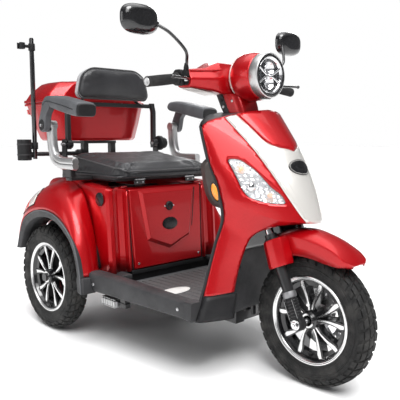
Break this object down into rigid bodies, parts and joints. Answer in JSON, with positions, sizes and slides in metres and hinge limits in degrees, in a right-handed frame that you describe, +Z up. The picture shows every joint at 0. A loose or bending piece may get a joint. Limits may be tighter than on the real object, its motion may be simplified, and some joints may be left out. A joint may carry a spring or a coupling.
{
  "type": "mobility scooter",
  "caption": "Three-wheeled electric mobility scooter with step-through floor, padded seat with armrests, backrest, top case and cane holder.",
  "frame": {"origin": "on the ground, under the middle of the vehicle's overall box", "axes": "front faces -Y, rider's left is +X, +Z up"},
  "size_m": [0.834, 1.6049, 1.1469],
  "materials": {
    "red_paint": "glossy metallic red lacquer",
    "silver_paint": "pearl silver lacquer",
    "black_plastic": "fine-grained black moulding",
    "grey_plastic": "grained dark grey moulding",
    "frame_steel": "satin black powder coat",
    "tyre_rubber": "block tread",
    "grip_rubber": "ribbed rubber",
    "cast_alloy": "machined faces over black",
    "bright_steel": "polished",
    "satin_alloy": "satin silver",
    "disc_steel": "brushed",
    "black_leather": "smooth leatherette",
    "clear_lens": "clear faceted lens",
    "amber_lens": "amber reflector",
    "tail_lens": "red and clear lens",
    "mirror_glass": "mirror",
    "battery_case": "moulded case"
  },
  "bodies": {
    "chassis": {"main_frame": "frame_steel", "floor_pan": "grey_plastic", "running_boards": "black_plastic", "leg_shield": "red_paint", "nose_panel": "silver_paint", "column_cover": "red_paint", "inner_shield": "black_plastic", "front_lamps": "clear_lens", "side_reflectors": "amber_lens", "wheel_liner": "grey_plastic", "rear_body": "red_paint", "access_panel": "red_paint", "arch_trims": "black_plastic", "tail_lamps": "tail_lens", "charging_socket": "black_plastic", "battery_and_controller": "battery_case", "cane_holder": "frame_steel", "case_base": "red_paint", "rear_shocks": "frame_steel"},
    "case_lid": {"case_lid": "red_paint"},
    "steering": {"fork_crown": "bright_steel", "handlebar": "frame_steel", "stem_cover": "red_paint", "handlebar_cover": "red_paint", "dash_cover": "black_plastic", "headlight_ring": "silver_paint", "headlight_lens": "clear_lens", "left_grip": "grip_rubber", "switch_housings": "black_plastic"},
    "throttle": {"throttle_grip": "grip_rubber"},
    "left_brake_lever": {"left_brake_lever": "frame_steel"},
    "right_brake_lever": {"right_brake_lever": "frame_steel"},
    "left_mirror": {"left_mirror": "black_plastic", "left_mirror_glass": "mirror_glass"},
    "right_mirror": {"right_mirror": "black_plastic", "right_mirror_glass": "mirror_glass"},
    "ignition_key": {"ignition_key": "bright_steel"},
    "horn_button": {"horn_button": "grey_plastic"},
    "fork_slider": {"fork_lowers": "frame_steel", "front_fender": "red_paint", "front_axle": "bright_steel", "brake_caliper": "frame_steel"},
    "front_wheel": {"front_tyre": "tyre_rubber", "front_rim": "cast_alloy", "brake_disc": "disc_steel"},
    "rear_axle": {"swingarm": "frame_steel", "drive_motor": "cast_alloy"},
    "left_rear_wheel": {"left_rear_tyre": "tyre_rubber", "left_rear_rim": "cast_alloy"},
    "right_rear_wheel": {"right_rear_tyre": "tyre_rubber", "right_rear_rim": "cast_alloy"},
    "seat": {"seat_base": "frame_steel", "seat_cushion": "black_leather", "arm_tubes": "satin_alloy"},
    "left_armrest": {"left_armrest": "grey_plastic"},
    "right_armrest": {"right_armrest": "grey_plastic"},
    "backrest": {"backrest_frame": "frame_steel", "backrest_pad": "black_leather"},
    "recline_knob": {"recline_knob": "black_plastic"},
    "foot_peg": {"foot_peg": "satin_alloy"}
  },
  "joints": [
    {"name": "steering", "type": "hinge", "parent": "chassis", "child": "steering", "pos_m": [0, -0.5586, 0.205], "axis": [0, 0.4067, 0.9135], "range_deg": [-35, 35]},
    {"name": "front_suspension", "type": "slide", "parent": "steering", "child": "fork_slider", "axis": [0, 0.4067, 0.9135], "range_m": [-0.012, 0.018], "stiffness_N_per_m": 16000, "springref_m": -0.0165},
    {"name": "front_wheel_spin", "type": "hinge", "parent": "fork_slider", "child": "front_wheel", "pos_m": [0, -0.5975, 0.205], "axis": [1, 0, 0], "continuous": true},
    {"name": "rear_suspension", "type": "hinge", "parent": "chassis", "child": "rear_axle", "pos_m": [0, 0.15, 0.175], "axis": [1, 0, 0], "range_deg": [-2, 4], "stiffness_Nm_per_rad": 6000, "springref_deg": -1.72, "deforming": ["rear_shocks"]},
    {"name": "left_rear_wheel_spin", "type": "hinge", "parent": "rear_axle", "child": "left_rear_wheel", "pos_m": [0.305, 0.4285, 0.205], "axis": [1, 0, 0], "continuous": true},
    {"name": "right_rear_wheel_spin", "type": "hinge", "parent": "rear_axle", "child": "right_rear_wheel", "pos_m": [-0.305, 0.4285, 0.205], "axis": [1, 0, 0], "continuous": true},
    {"name": "seat_lift", "type": "hinge", "parent": "chassis", "child": "seat", "pos_m": [0, 0.1145, 0.597], "axis": [1, 0, 0], "range_deg": [0, 50]},
    {"name": "left_armrest_flip", "type": "hinge", "parent": "seat", "child": "left_armrest", "pos_m": [0.333, 0.4155, 0.795], "axis": [-1, 0, 0], "range_deg": [0, 85]},
    {"name": "right_armrest_flip", "type": "hinge", "parent": "seat", "child": "right_armrest", "pos_m": [-0.333, 0.4155, 0.795], "axis": [-1, 0, 0], "range_deg": [0, 85]},
    {"name": "backrest_fold", "type": "hinge", "parent": "seat", "child": "backrest", "pos_m": [0, 0.4385, 0.722], "axis": [1, 0, 0], "range_deg": [0, 75]},
    {"name": "recline_knob_turn", "type": "hinge", "parent": "seat", "child": "recline_knob", "pos_m": [0.25, 0.4385, 0.722], "axis": [1, 0, 0], "range_deg": [0, 270]},
    {"name": "case_lid_open", "type": "hinge", "parent": "chassis", "child": "case_lid", "pos_m": [0, 0.5105, 0.8905], "axis": [1, 0, 0], "range_deg": [0, 30]},
    {"name": "throttle_twist", "type": "hinge", "parent": "steering", "child": "throttle", "pos_m": [-0.28, -0.22417, 0.926], "axis": [-0.9893, -0.0507, -0.137], "range_deg": [0, 70], "stiffness_Nm_per_rad": 0.4, "springref_deg": -11.46},
    {"name": "left_brake_squeeze", "type": "hinge", "parent": "steering", "child": "left_brake_lever", "pos_m": [0.21, -0.2525, 0.931], "axis": [0, 0, 1], "range_deg": [0, 16], "stiffness_Nm_per_rad": 2, "springref_deg": -5.73},
    {"name": "right_brake_squeeze", "type": "hinge", "parent": "steering", "child": "right_brake_lever", "pos_m": [-0.21, -0.2525, 0.931], "axis": [0, 0, -1], "range_deg": [0, 16], "stiffness_Nm_per_rad": 2, "springref_deg": -5.73},
    {"name": "left_mirror_turn", "type": "hinge", "parent": "steering", "child": "left_mirror", "pos_m": [0.21, -0.2525, 0.968], "axis": [0, 0, 1], "range_deg": [-20, 20]},
    {"name": "right_mirror_turn", "type": "hinge", "parent": "steering", "child": "right_mirror", "pos_m": [-0.21, -0.2525, 0.968], "axis": [0, 0, 1], "range_deg": [-20, 20]},
    {"name": "key_turn", "type": "hinge", "parent": "steering", "child": "ignition_key", "pos_m": [-0.055, -0.1895, 0.93], "axis": [0, 1, 0], "range_deg": [0, 90]},
    {"name": "horn_press", "type": "slide", "parent": "steering", "child": "horn_button", "axis": [0, -1, 0], "range_m": [0, 0.0018], "stiffness_N_per_m": 400, "springref_m": -0.001},
    {"name": "foot_peg_fold", "type": "hinge", "parent": "chassis", "child": "foot_peg", "pos_m": [-0.25, 0.0245, 0.165], "axis": [0, 0, 1], "range_deg": [0, 85]}
  ]
}
